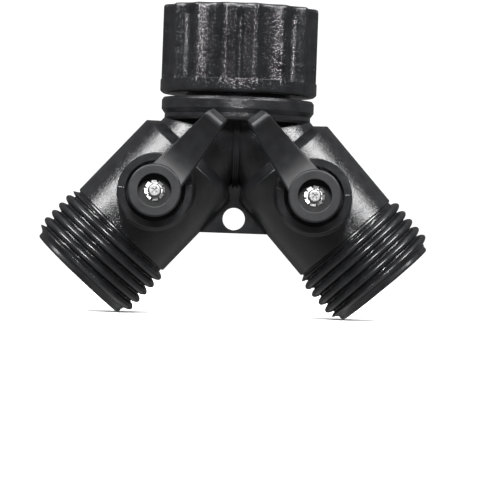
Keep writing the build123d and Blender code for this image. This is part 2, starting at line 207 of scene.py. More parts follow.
class FormTree(NodeGraph):
    """A Geometry Nodes tree with named sizes."""

    def __init__(self, name: str) -> None:
        """Makes an empty tree that takes and gives a geometry."""
        super().__init__(bpy.data.node_groups.new(name, "GeometryNodeTree"))
        self.tree.is_modifier = True
        self.tree.interface.new_socket("Outline", in_out="INPUT", socket_type="NodeSocketGeometry")
        self.tree.interface.new_socket("Form", in_out="OUTPUT", socket_type="NodeSocketGeometry")
        self.entry = self.node("NodeGroupInput")
        self.exit = self.node("NodeGroupOutput")

    def size(self, name: str, kind: str = "NodeSocketFloat") -> Socket:
        """Adds a named input and returns its socket inside the tree."""
        self.tree.interface.new_socket(name, in_out="INPUT", socket_type=kind)
        return self.entry.outputs[name]

    def close(self, geometry: Socket, material: bpy.types.Material) -> None:
        """Ends the tree: instances become real and the material is set.

        Args:
            geometry: The form's geometry.
            material: What it is made of.
        """
        real = self.node("GeometryNodeRealizeInstances", {"Geometry": geometry})
        smooth = self.node("GeometryNodeSetShadeSmooth", {"Geometry": real.outputs[0]})
        dressed = self.node("GeometryNodeSetMaterial", {"Geometry": smooth.outputs[0], "Material": material})
        self.feed(self.exit.inputs[0], dressed.outputs[0])


class TurningTree(FormTree):
    """Turns an outline about the Z axis; ribs and threads then push its surface in or out."""

    def __init__(self, name: str) -> None:
        """Lays out one column of outline points for each step around."""
        super().__init__(name)
        self.steps = self.size("Steps around", "NodeSocketInt")
        outline = self.entry.outputs["Outline"]
        count = self.node("GeometryNodeAttributeDomainSize", {"Geometry": outline}).outputs["Point Count"]
        columns = self.maths("ADD", self.steps, 1)
        self.grid = self.node("GeometryNodeMeshGrid", {"Vertices X": columns, "Vertices Y": count})
        index = self.node("GeometryNodeInputIndex").outputs[0]
        self.row = self.maths("FLOORED_MODULO", index, count)
        column = self.maths("FLOOR", self.maths("DIVIDE", self.maths("ADD", index, 0.5), count))
        self.angle = self.maths("MULTIPLY", self.maths("DIVIDE", column, self.steps), math.tau)
        position = self.node("GeometryNodeInputPosition").outputs[0]
        point = self.node("ShaderNodeSeparateXYZ", {0: self.along_outline(position, "FLOAT_VECTOR")})
        self.radius, self.height = point.outputs["X"], point.outputs["Z"]

    def along_outline(self, value: Socket, data_type: str) -> Socket:
        """Reads a value of the outline at this point's row."""
        taken = {"Geometry": self.entry.outputs["Outline"], "Value": value, "Index": self.row}
        return self.node("GeometryNodeSampleIndex", taken, data_type=data_type, domain="POINT").outputs[0]

    def share(self, attribute: str) -> Socket:
        """Reads how strongly a pattern works at this point of the outline."""
        named = self.node("GeometryNodeInputNamedAttribute", {"Name": attribute}, data_type="FLOAT")
        return self.along_outline(named.outputs[0], "FLOAT")

    def off_centre(self, turns: Socket) -> Socket:
        """Distance from the nearest whole turn, from -0.5 to 0.5."""
        return self.maths("SUBTRACT", turns, self.maths("FLOOR", self.maths("ADD", turns, 0.5)))

    def near_wall(self, centre: Number, radius_squared: Number, angle: Socket) -> tuple[Socket, Socket]:
        """Where a ray from the axis first meets a round hole that stands parallel to it.

        Args:
            centre: The hole's distance from the axis.
            radius_squared: The square of the hole's radius.
            angle: The ray's angle from the hole's centre.

        Returns:
            The distance from the axis, and how far the ray is inside the hole, negative when it misses.
        """
        across = self.maths("MULTIPLY", centre, self.maths("SINE", angle))
        inside = self.maths("SUBTRACT", radius_squared, self.maths("MULTIPLY", across, across))
        half_chord = self.maths("SQRT", self.maths("MAXIMUM", inside, 0.0))
        middle = self.maths("MULTIPLY", centre, self.maths("COSINE", angle))
        reach = self.maths("SUBTRACT", middle, half_chord)
        return reach, inside

    def cut_ribs(self) -> None:
        """Cuts round-bottomed scallops all round, and a narrow closed groove in every other one."""
        outer = self.size("Outer radius")
        count = self.size("Scallop count")
        centre = self.size("Scallop centre")
        hollow = self.size("Scallop radius")
        groove_centre = self.size("Groove centre")
        groove = self.size("Groove radius")
        groove_top = self.size("Groove top")
        crest_round = self.size("Crest rounding")
        start = self.size("First scallop angle")
        turns = self.maths("DIVIDE", self.maths("SUBTRACT", self.angle, start), math.tau)
        pitch_angle = self.maths("DIVIDE", math.tau, count)
        step = self.off_centre(self.maths("MULTIPLY", turns, count))
        wall, _ = self.near_wall(
            centre, self.maths("MULTIPLY", hollow, hollow), self.maths("MULTIPLY", step, pitch_angle)
        )
        depth = self.maths("SUBTRACT", outer, self.maths("SMOOTH_MIN", outer, wall, crest_round))
        double_step = self.off_centre(self.maths("MULTIPLY", turns, self.maths("DIVIDE", count, 2)))
        double_angle = self.maths("MULTIPLY", double_step, self.maths("MULTIPLY", pitch_angle, 2))
        past_top = self.maths("MAXIMUM", self.maths("SUBTRACT", self.height, groove_top), 0.0)
        closing = self.maths("MULTIPLY", past_top, past_top)
        narrowed = self.maths("SUBTRACT", self.maths("MULTIPLY", groove, groove), closing)
        floor, inside = self.near_wall(groove_centre, narrowed, double_angle)
        groove_depth = self.maths("SUBTRACT", outer, floor)
        hit = self.maths("GREATER_THAN", inside, 0.0)
        depth = self.maths("MAXIMUM", depth, self.maths("MULTIPLY", groove_depth, hit))
        self.radius = self.maths("SUBTRACT", self.radius, self.maths("MULTIPLY", depth, self.share("ribs")))

    def raise_thread(self) -> None:
        """Raises a right-handed thread with rounded crests that fades out at both ends."""
        pitch = self.size("Pitch")
        start = self.size("Thread start")
        first = self.size("Thread begins")
        last = self.size("Thread ends")
        rise = self.size("Rise")
        half_width = self.size("Half width")
        run_in = self.size("Run-in")
        lead = self.maths("DIVIDE", self.maths("SUBTRACT", self.height, start), pitch)
        phase = self.maths("SUBTRACT", lead, self.maths("DIVIDE", self.angle, math.tau))
        off = self.maths("MULTIPLY", self.maths("ABSOLUTE", self.off_centre(phase)), pitch)
        across = self.maths("DIVIDE", off, half_width)
        lobe = self.maths("SUBTRACT", 1.0, self.maths("MULTIPLY", across, across))
        rounded = self.maths("POWER", self.maths("SMOOTH_MAX", lobe, 0.0, CREST_SOFTNESS), CREST_FULLNESS)
        from_first = self.maths("DIVIDE", self.maths("SUBTRACT", self.height, first), run_in)
        to_last = self.maths("DIVIDE", self.maths("SUBTRACT", last, self.height), run_in)
        fade = self.maths("MAXIMUM", self.maths("MINIMUM", from_first, to_last), 0.0)
        height = self.maths("MAXIMUM", self.maths("SMOOTH_MIN", rounded, fade, RUN_IN_SOFTNESS), 0.0)
        push = self.maths("MULTIPLY", self.maths("MULTIPLY", height, rise), self.share("thread"))
        self.radius = self.maths("ADD", self.radius, push)

    def turn(self, material: bpy.types.Material) -> bpy.types.NodeTree:
        """Places the points, stitches the seam and ends the tree.

        Args:
            material: What the piece is made of.

        Returns:
            The finished tree.
        """
        x = self.maths("MULTIPLY", self.radius, self.maths("COSINE", self.angle))
        y = self.maths("MULTIPLY", self.radius, self.maths("SINE", self.angle))
        place = self.node("ShaderNodeCombineXYZ", {"X": x, "Y": y, "Z": self.height}).outputs[0]
        bare = self.grid.outputs["Mesh"]
        moved = self.node("GeometryNodeSetPosition", {"Geometry": bare, "Position": place}).outputs[0]
        stitched = self.node("GeometryNodeMergeByDistance", {"Geometry": moved, "Distance": SEAM_REACH})
        self.close(stitched.outputs[0], material)
        return self.tree


# --- Outlines and forms --------------------------------------------------------------------------


@dataclass(frozen=True)
class Corner:
    """One corner of a turned outline, in millimetres.

    step is the longest gap between points on the way to the next corner.
    ribs and thread are the shares of those patterns at the corner.
    """

    radius: float
    height: float
    rounding: float = 0.12
    step: float = 2.0
    ribs: float = 0.0
    thread: float = 0.0

    @property
    def spot(self) -> Vector:
        """Radius and height as a vector."""
        return Vector((self.radius, self.height))


@dataclass(frozen=True)
class OutlinePoint:
    """A point of an outline with its pattern shares."""

    spot: Vector
    ribs: float
    thread: float


@dataclass(frozen=True)
class Outline:
    """A closed outline of rounded corners that is turned about the Z axis."""

    corners: Sequence[Corner]
    arc_points: int = 4

    def _arc(self, before: Corner, here: Corner, after: Corner) -> list[OutlinePoint]:
        """Rounds one corner.

        Args:
            before: The corner before it.
            here: The corner.
            after: The corner after it.

        Returns:
            The points of its arc, or the corner alone when it stays sharp.
        """
        back = before.spot - here.spot
        ahead = after.spot - here.spot
        reach = min(here.rounding, 0.45 * back.length, 0.45 * ahead.length)
        if reach <= 0:
            return [OutlinePoint(here.spot, here.ribs, here.thread)]
        start = here.spot + back.normalized() * reach
        end = here.spot + ahead.normalized() * reach
        points = []
        for i in range(self.arc_points + 1):
            t = i / self.arc_points
            spot = start * (1 - t) ** 2 + here.spot * 2 * t * (1 - t) + end * t**2
            points.append(OutlinePoint(spot, here.ribs, here.thread))
        return points

    def points(self) -> list[OutlinePoint]:
        """Works out every point, with the last one repeating the first.

        Returns:
            The points in order.
        """
        count = len(self.corners)
        following = [*self.corners[1:], self.corners[0]]
        arcs = [self._arc(self.corners[i - 1], self.corners[i], following[i]) for i in range(count)]
        made: list[OutlinePoint] = []
        for i, arc in enumerate(arcs):
            made += arc
            start, end = arc[-1], arcs[(i + 1) % count][0]
            gaps = max(1, math.ceil((end.spot - start.spot).length / self.corners[i].step))
            for k in range(1, gaps):
                t = k / gaps
                spot = start.spot.lerp(end.spot, t)
                ribs = start.ribs + (end.ribs - start.ribs) * t
                thread = start.thread + (end.thread - start.thread) * t
                made.append(OutlinePoint(spot, ribs, thread))
        return [*made, made[0]]

    def mesh(self, name: str) -> bpy.types.Mesh:
        """Makes a mesh of bare points in the XZ plane that carry their shares.

        Args:
            name: The mesh's name.

        Returns:
            The mesh.
        """
        points = self.points()
        mesh = bpy.data.meshes.new(name)
        mesh.from_pydata([(p.spot.x, 0, p.spot.y) for p in points], [], [])
        for pattern in ("ribs", "thread"):
            shares = mesh.attributes.new(pattern, "FLOAT", "POINT")
            shares.data.foreach_set("value", [getattr(p, pattern) for p in points])
        return mesh


def grown(name: str, seed: bpy.types.Mesh, tree: bpy.types.NodeTree, sizes: dict[str, float | int],
          place: Matrix, crease: float = 38.0) -> bpy.types.Object:
    """Grows a form from a Geometry Nodes tree and leaves it as a plain mesh in its place.

    Args:
        name: The finished object's name.
        seed: The mesh that the tree starts from.
        tree: The tree.
        sizes: The tree's named sizes in millimetres.
        place: Where the form goes, still in millimetres.
        crease: Edges sharper than this many degrees stay sharp.

    Returns:
        The finished object at the origin.
    """
    carrier = bpy.data.objects.new(f"{name}_seed", seed)
    bpy.context.scene.collection.objects.link(carrier)
    modifier = carrier.modifiers.new("form", "NODES")
    modifier.node_group = tree
    for item in tree.interface.items_tree:
        if item.in_out == "INPUT" and item.name in sizes:
            modifier[item.identifier] = sizes[item.name]
    evaluated = carrier.evaluated_get(bpy.context.evaluated_depsgraph_get())
    mesh = bpy.data.meshes.new_from_object(evaluated)
    carrier.modifiers.remove(modifier)
    bpy.data.objects.remove(carrier)
    for attribute in [a for a in mesh.attributes if a.name in ("ribs", "thread")]:
        mesh.attributes.remove(attribute)
    worn = [material for material in mesh.materials if material]
    mesh.materials.clear()
    for material in worn:
        mesh.materials.append(material)
    mesh.name = name
    mesh.transform(Matrix.Scale(MM, 4) @ place)
    mesh.set_sharp_from_angle(angle=math.radians(crease))
    finished = bpy.data.objects.new(name, mesh)
    bpy.context.scene.collection.objects.link(finished)
    return finished


def frame_of(origin: Vector, x_axis: Vector, z_axis: Vector) -> Matrix:
    """Makes a right-handed frame.

    Args:
        origin: Its origin in millimetres.
        x_axis: Its X direction.
        z_axis: Its Z direction, square to X.

    Returns:
        The matrix from the frame to the splitter.
    """
    turned = Matrix((x_axis, z_axis.cross(x_axis), z_axis)).transposed().to_4x4()
    return Matrix.Translation(origin) @ turned


def arm_frame(side: Side) -> Matrix:
    """Frame of an arm: Z runs down the outlet's axis, X towards the lever."""
    lean = math.radians(ARM_ANGLE)
    down = Vector((side.value * math.sin(lean), 0, -math.cos(lean)))
    return frame_of(Vector((0, 0, ARM_CROSSING)), Vector((0, -1, 0)), down)


def valve_frame(side: Side) -> Matrix:
    """Frame of a valve at rest: Z rises to the lever, X points along the lever's wing."""
    lean = math.radians(ARM_ANGLE - LEVER_REST_ANGLE)
    centre = arm_frame(side) @ Vector((0, 0, VALVE_AT))
    along = Vector((-side.value * math.sin(lean), 0, math.cos(lean)))
    return frame_of(centre, along, Vector((0, -1, 0)))


# --- Finishes ------------------------------------------------------------------------------------


TONE_SPREAD = (0.35, 0.65)
NOISE_SPREAD = (0.3, 0.7)
BEVEL_SAMPLES = 6


class Finish(NodeGraph):
    """A material under construction around one principled shader."""

    def __init__(self, name: str) -> None:
        """Makes the material, its shader and the piece's own coordinates in millimetres."""
        self.material = bpy.data.materials.new(name)
        self.material.use_nodes = True
        super().__init__(self.material.node_tree)
        self.shader = self.node("ShaderNodeBsdfPrincipled")
        output = self.node("ShaderNodeOutputMaterial")
        self.feed(output.inputs["Surface"], self.shader.outputs[0])
        place = self.node("ShaderNodeTexCoord").outputs["Object"]
        scaled = self.node("ShaderNodeVectorMath", {0: place, "Scale": 1 / MM}, operation="SCALE")
        self.place = scaled.outputs[0]

    def noise(self, size: float, detail: float = 2.0) -> Socket:
        """Soft random field whose spots are about size millimetres wide."""
        wanted = {"Vector": self.place, "Scale": 1 / size, "Detail": detail}
        return self.node("ShaderNodeTexNoise", wanted).outputs["Fac"]

    def tint(self, low: Sequence[float], high: Sequence[float], spread: Socket) -> None:
        """Mottles the base colour between two tones.

        Args:
            low: Tone where the field is low.
            high: Tone where it is high.
            spread: The field.
        """
        steps = self.node("ShaderNodeValToRGB", {"Fac": spread})
        for element, position, tone in zip(steps.color_ramp.elements, TONE_SPREAD, (low, high)):
            element.position = position
            element.color = (*tone, 1)
        self.feed(self.shader.inputs["Base Color"], steps.outputs["Color"])

    def gloss(self, spread: Socket, low: float, high: float) -> None:
        """Varies the roughness between two values.

        Args:
            spread: The field that it follows.
            low: Roughness where the field is low.
            high: Roughness where it is high.
        """
        self.feed(self.shader.inputs["Roughness"], self.ramp(spread, *NOISE_SPREAD, low, high))

    def softened(self, radius: float) -> Socket:
        """Normal with edges rounded to a radius in millimetres."""
        return self.node("ShaderNodeBevel", {"Radius": radius * MM}, samples=BEVEL_SAMPLES).outputs[0]

    def relief(self, height: Socket, depth: float, under: Socket | None = None) -> Socket:
        """Adds relief to the surface.

        Args:
            height: Field from 0 to 1.
            depth: Relief in millimetres.
            under: Relief that this one lies on.

        Returns:
            The normal's socket.
        """
        wanted: dict[str | int, object] = {"Height": height, "Distance": depth * MM, "Strength": 1.0}
        if under is not None:
            wanted["Normal"] = under
        return self.node("ShaderNodeBump", wanted).outputs["Normal"]


@dataclass(frozen=True)
class BlackPlastic:
    """Black moulded plastic: near-black cool tone, mould grain, softened edges and slight sink marks.

    Sizes are in millimetres. grain_from and grain_to are distances from the plane of the arms.
    """

    name: str
    skin: Skin
    tone: float = 0.009
    coolness: tuple[float, float, float] = (1.0, 1.02, 1.12)
    tone_range: tuple[float, float] = (0.8, 1.3)
    mottle_size: float = 2.5
    patch_size: float = 3.5
    patch_range: tuple[float, float] = (-0.04, 0.06)
    ior: float = 1.5
    shine: float = 0.5
    edge: float = 0.15
    sink: float = 0.05
    sink_size: float = 6.0
    grain_from: float = 0.0
    grain_to: float = 100.0
    grain_fade: float = 0.5
    plain_share: float = 0.25
    parting_line: bool = False
    line_half_width: tuple[float, float] = (0.03, 0.14)
    line_height: float = 0.06

    def make(self) -> bpy.types.Material:
        """Builds the material."""
        finish = Finish(self.name)
        grain = self.skin.value
        dark, light = ([share * self.tone * tint for tint in self.coolness] for share in self.tone_range)
        finish.tint(dark, light, finish.noise(self.mottle_size))
        low, high = (grain.roughness + change for change in self.patch_range)
        finish.gloss(finish.noise(self.patch_size, 3.0), low, high)
        finish.shader.inputs["IOR"].default_value = self.ior
        finish.shader.inputs["Specular IOR Level"].default_value = self.shine
        sunk = finish.relief(finish.noise(self.sink_size, 1.0), self.sink, finish.softened(self.edge))
        pits = finish.maths("MULTIPLY", finish.noise(grain.size, 0.5), self._grain_share(finish))
        normal = finish.relief(pits, grain.depth, sunk)
        if self.parting_line:
            normal = self._seam(finish, normal)
        finish.feed(finish.shader.inputs["Normal"], normal)
        return finish.material

    def _grain_share(self, finish: Finish) -> Socket:
        """Keeps the grain off the flat web near the plane of the arms and off the tower tops far from it.

        Args:
            finish: The material being made.

        Returns:
            The share of the grain, from the plain share to 1.
        """
        across = finish.node("ShaderNodeSeparateXYZ", {0: finish.place}).outputs["Y"]
        distance = finish.maths("ABSOLUTE", across)
        plain, fade = self.plain_share, self.grain_fade
        near = finish.ramp(distance, self.grain_from, self.grain_from + fade, plain, 1.0)
        far = finish.ramp(distance, self.grain_to, self.grain_to + fade, 1.0, plain)
        return finish.maths("MULTIPLY", near, far)

    def _seam(self, finish: Finish, under: Socket) -> Socket:
        """Raises the mould's parting line where the two halves of the tool met, in the plane of the arms.

        Args:
            finish: The material being made.
            under: The relief so far.

        Returns:
            The normal with the line on it.
        """
        across = finish.node("ShaderNodeSeparateXYZ", {0: finish.place}).outputs["Y"]
        line = finish.ramp(finish.maths("ABSOLUTE", across), *self.line_half_width, 1.0, 0.0)
        return finish.relief(line, self.line_height, under)


@dataclass(frozen=True)
class WhitePlastic:
    """Milky white plastic of the tailpiece."""

    name: str = "tailpiece_white"
    dark: tuple[float, float, float] = (0.74, 0.75, 0.74)
    light: tuple[float, float, float] = (0.82, 0.82, 0.8)
    roughness: tuple[float, float] = (0.32, 0.45)
    milkiness: float = 0.15
    milk_depth: float = 0.001
    edge: float = 0.15
    relief: float = 0.004

    def make(self) -> bpy.types.Material:
        """Builds the material."""
        finish = Finish(self.name)
        finish.tint(self.dark, self.light, finish.noise(1.5))
        finish.gloss(finish.noise(0.8), *self.roughness)
        finish.shader.inputs["Subsurface Weight"].default_value = self.milkiness
        finish.shader.inputs["Subsurface Scale"].default_value = self.milk_depth
        normal = finish.relief(finish.noise(0.3), self.relief, finish.softened(self.edge))
        finish.feed(finish.shader.inputs["Normal"], normal)
        return finish.material


@dataclass(frozen=True)
class Rubber:
    """Black rubber with a dusty, uneven surface."""

    name: str
    tone: float = 0.02
    tone_range: tuple[float, float] = (0.7, 1.4)
    roughness: tuple[float, float] = (0.5, 0.68)
    relief: float = 0.006

    def make(self) -> bpy.types.Material:
        """Builds the material."""
        finish = Finish(self.name)
        dark, light = ((self.tone * share,) * 3 for share in self.tone_range)
        finish.tint(dark, light, finish.noise(0.9))
        finish.gloss(finish.noise(0.6), *self.roughness)
        finish.feed(finish.shader.inputs["Normal"], finish.relief(finish.noise(0.15), self.relief))
        return finish.material


@dataclass(frozen=True)
class PlatedSteel:
    """Zinc-plated steel with fine scratches."""

    name: str
    tone: float = 0.72
    roughness: float = 0.28
    crumple: float = 0.01
    dark_share: float = 0.82
    wear: tuple[float, float] = (-0.08, 0.12)

    def make(self) -> bpy.types.Material:
        """Builds the material."""
        finish = Finish(self.name)
        finish.tint((self.tone * self.dark_share,) * 3, (self.tone,) * 3, finish.noise(0.5))
        low, high = (self.roughness + change for change in self.wear)
        finish.gloss(finish.noise(0.3), low, high)
        finish.shader.inputs["Metallic"].default_value = 1.0
        finish.feed(finish.shader.inputs["Normal"], finish.relief(finish.noise(0.22), self.crumple))
        return finish.material


@dataclass(frozen=True)
class Palette:
    """The finishes of the splitter, made once and shared by its pieces."""

    body: bpy.types.Material = field(
        default_factory=lambda: BlackPlastic(
            "body_grain", Skin.SPARKED, grain_from=1.25, grain_to=17.0, parting_line=True
        ).make()
    )
    nut: bpy.types.Material = field(
        default_factory=lambda: BlackPlastic("nut_grain", Skin.COARSE, edge=0.08).make()
    )
    thread: bpy.types.Material = field(
        default_factory=lambda: BlackPlastic("thread_polish", Skin.POLISHED, edge=0.06).make()
    )
    lever: bpy.types.Material = field(
        default_factory=lambda: BlackPlastic("lever_satin", Skin.SATIN, shine=0.3, edge=0.2).make()
    )
    inner: bpy.types.Material = field(
        default_factory=lambda: BlackPlastic("stem_satin", Skin.SATIN, tone=0.02, edge=0.1).make()
    )
    tailpiece: bpy.types.Material = field(default_factory=lambda: WhitePlastic().make())
    washer: bpy.types.Material = field(default_factory=lambda: Rubber("washer_face").make())
    rings: bpy.types.Material = field(default_factory=lambda: Rubber("ring_rubber", tone=0.016).make())
    seats: bpy.types.Material = field(default_factory=lambda: Rubber("valve_seat", tone=0.03).make())
    screw: bpy.types.Material = field(
        default_factory=lambda: PlatedSteel("screw_zinc", tone=0.42, roughness=0.4, crumple=0.02).make()
    )
    star: bpy.types.Material = field(
        default_factory=lambda: PlatedSteel("star_zinc", tone=0.7, roughness=0.4, crumple=0.05).make()
    )


# --- Sub-assemblies ------------------------------------------------------------------------------


@dataclass
class SubAssembly:
    """A group of pieces that belong together."""

    frame: dict
    palette: Palette

    def dress(self, node: str, material: bpy.types.Material) -> None:
        """Gives a CAD node its finish and reports it.

        Args:
            node: The node's name.
            material: Its material.
        """
        mesh = self.frame["nodes"][node].data
        mesh.materials.clear()
        mesh.materials.append(material)
        LOG.info("%s wears %s", node, material.name)

    def hand_over(self, piece: bpy.types.Object, node: str, body: str, slot: str) -> None:
        """Puts a finished piece in a CAD node's stead.

        Args:
            piece: The piece.
            node: The CAD node it stands for.
            body: The body it rides on.
            slot: The record's material slot; not used.
        """
        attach(piece, body)
        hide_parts(node)
        LOG.info("%s stands for %s with %d faces", piece.name, node, len(piece.data.polygons))


@dataclass
class SwivelNut(SubAssembly):
    """Ribbed nut on the inlet with the female hose thread."""

    radius: float = 16.85
    length: float = 19.0
    band: float = 3.0
    band_edge: float = 0.02
    back_bevel: float = 0.7
    back_bevel_height: float = 0.55
    crown_rounding: float = 0.75
    crest_rounding: float = 0.16
    face_inner: float = 14.45
    entry_radius: float = 14.0
    entry_depth: float = 2.0
    entry_bevel: float = 0.4
    thread_root: float = 13.6
    thread_crest: float = 12.3
    thread_bottom: float = 11.1
    thread_half_width: float = 0.95
    thread_run_out: float = 1.0
    run_in: float = 1.6
    first_crest_gap: float = 1.2
    last_crest_gap: float = 0.6
    chamber: float = 12.6
    web: float = 3.0
    web_hole: float = 11.3
    scallops: int = 16
    scallop_depth: float = 1.1
    scallop_width: float = 5.6
    groove_radius: float = 0.75
    groove_centre: float = 15.9
    groove_top: float = 2.3
    steps_per_scallop: int = 36

    def outline(self) -> Outline:
        """The nut's section, from the back web round the outside and down the thread."""
        back, rib_foot = -self.length, -self.length + self.band
        entry_floor = -self.entry_depth
        return Outline([
            Corner(self.web_hole, back, 0.15),
            Corner(self.radius - self.back_bevel, back, 0.2),
            Corner(self.radius, back + self.back_bevel_height, 0.3),
            Corner(self.radius, rib_foot - self.band_edge, 0.0),
            Corner(self.radius, rib_foot + self.band_edge, 0.0, step=0.5, ribs=1),
            Corner(self.radius, 0, self.crown_rounding, step=0.4, ribs=1),
            Corner(self.face_inner, 0, 0.1),
            Corner(self.entry_radius, -self.entry_bevel, 0.1, step=0.4),
            Corner(self.entry_radius, entry_floor, 0.1),
            Corner(self.thread_root, entry_floor - self.entry_bevel, 0.1, step=0.14, thread=1),
            Corner(self.thread_root, -self.thread_bottom + self.thread_run_out, 0.1, thread=1),
            Corner(self.chamber, -self.thread_bottom, 0.2),
            Corner(self.chamber, back + self.web, 0.1),
            Corner(self.web_hole, back + self.web, 0.1),
        ])

    def sizes(self) -> dict[str, float | int]:
        """The tree's named sizes for this nut."""
        half_width = self.scallop_width / 2
        chord_depth = self.scallop_depth - (self.radius - math.sqrt(self.radius**2 - half_width**2))
        hollow = (half_width**2 + chord_depth**2) / (2 * chord_depth)
        rise = self.thread_root - self.thread_crest
        return {
            "Steps around": self.scallops * self.steps_per_scallop,
            "Outer radius": self.radius,
            "Scallop count": float(self.scallops),
            "Scallop centre": self.radius - self.scallop_depth + hollow,
            "Scallop radius": hollow,
            "Groove centre": self.groove_centre,
            "Groove radius": self.groove_radius,
            "Groove top": -self.groove_top,
            "Crest rounding": self.crest_rounding,
            "First scallop angle": -math.pi / 2,
            "Pitch": THREAD_PITCH,
            "Thread start": -self.thread_bottom - THREAD_PITCH / 2,
            "Thread begins": -self.thread_bottom + self.first_crest_gap,
            "Thread ends": -self.entry_depth - self.last_crest_gap,
            "Rise": -rise,
            "Half width": self.thread_half_width,
            "Run-in": self.run_in,
        }

    def build(self) -> None:
        """Turns the nut and puts it on the CAD node's place."""
        tree = TurningTree("ribbed_nut")
        tree.cut_ribs()
        tree.raise_thread()
        form = tree.turn(self.palette.nut)
        piece = grown("swivel_nut_shell", self.outline().mesh("nut_outline"), form, self.sizes(), Matrix())
        self.hand_over(piece, "swivel_nut", "nut", "nut_plastic")


@dataclass
class InletSeals(SubAssembly):
    """The white tailpiece, its O-ring and the grooved washer that the tap presses on."""

    washer_radius: float = 12.2
    washer_hole: float = 7.6
    washer_bottom: float = -14.0
    washer_thickness: float = 2.8
    groove_depth: float = 0.22
    steps_around: int = 160
    grooves: tuple[float, ...] = (8.7, 9.9, 11.1)
    groove_half_width: float = 0.45
    floor_half_width: float = 0.25

    def washer_outline(self) -> Outline:
        """The washer's section, with round grooves in its upper face."""
        top = self.washer_bottom + self.washer_thickness
        floor = top - self.groove_depth
        corners = [
            Corner(self.washer_hole, self.washer_bottom, 0.25),
            Corner(self.washer_radius, self.washer_bottom, 0.25),
            Corner(self.washer_radius, top, 0.3),
        ]
        for groove in reversed(self.grooves):
            corners += [
                Corner(groove + self.groove_half_width, top, 0.15),
                Corner(groove + self.floor_half_width, floor, 0.15),
                Corner(groove - self.floor_half_width, floor, 0.15),
                Corner(groove - self.groove_half_width, top, 0.15),
            ]
        return Outline([*corners, Corner(self.washer_hole, top, 0.3)])

    def build(self) -> None:
        """Dresses the tailpiece and turns the washer."""
        self.dress("swivel_sleeve", self.palette.tailpiece)
        self.dress("sleeve_o_ring", self.palette.rings)
        form = TurningTree("ringed_washer").turn(self.palette.washer)
        outline = self.washer_outline().mesh("washer_outline")
        piece = grown("inlet_washer_rings", outline, form, {"Steps around": self.steps_around}, Matrix())
        self.hand_over(piece, "inlet_washer", "splitter", "washer_rubber")


@dataclass
class ThreadedOutlet(SubAssembly):
    """Outlet end with the male hose thread and its smooth lead-in."""

    side: Side
    seam: float = 36.2
    end: float = 49.4
    lead_radius: float = 11.85
    lead_length: float = 1.1
    lead_rounding: float = 0.95
    mouth_radius: float = 7.95
    mouth_depth: float = 7.0
    mouth_slope: float = 1.2
    bore: float = 5.7
    shank: float = 10.3
    shank_start: float = 32.8
    thread_root: float = 12.05
    thread_crest: float = 13.5
    thread_half_width: float = 0.95
    run_in: float = 0.9
    crest_gap: float = 0.3
    steps_around: int = 480

    def outline(self) -> Outline:
        """The outlet's section, from its shank over the thread and back through the bore."""
        lead_start = self.end - self.lead_length
        mouth_floor = self.end - self.mouth_depth
        return Outline([
            Corner(self.bore, self.shank_start, 0.1),
            Corner(self.shank, self.shank_start, 0.2),
            Corner(self.shank, self.seam, 0.1),
            Corner(self.thread_root, self.seam, 0.08, step=0.12, thread=1),
            Corner(self.thread_root, lead_start - 0.2, 0.08, thread=1),
            Corner(self.lead_radius, lead_start, 0.1),
            Corner(self.lead_radius, self.end, self.lead_rounding),
            Corner(self.mouth_radius, self.end, 0.3),
            Corner(self.mouth_radius, mouth_floor, 0.2),
            Corner(self.bore, mouth_floor - self.mouth_slope, 0.4),
        ])

    def sizes(self) -> dict[str, float | int]:
        """The tree's named sizes for this outlet."""
        rise = self.thread_crest - self.thread_root
        return {
            "Steps around": self.steps_around,
            "Pitch": THREAD_PITCH,
            "Thread start": self.seam,
            "Thread begins": self.seam + self.crest_gap,
            "Thread ends": self.end - self.lead_length - self.crest_gap,
            "Rise": rise,
            "Half width": self.thread_half_width,
            "Run-in": self.run_in,
        }

    def build(self) -> None:
        """Turns the outlet and puts it on the CAD node's place."""
        tree = TurningTree(f"threaded_outlet_{self.side.label}")
        tree.raise_thread()
        form = tree.turn(self.palette.thread)
        outline = self.outline().mesh(f"outlet_outline_{self.side.label}")
        piece = grown(f"outlet_thread_{self.side.label}", outline, form, self.sizes(), arm_frame(self.side))
        self.hand_over(piece, f"outlet_{self.side.label}", "splitter", "outlet_plastic")


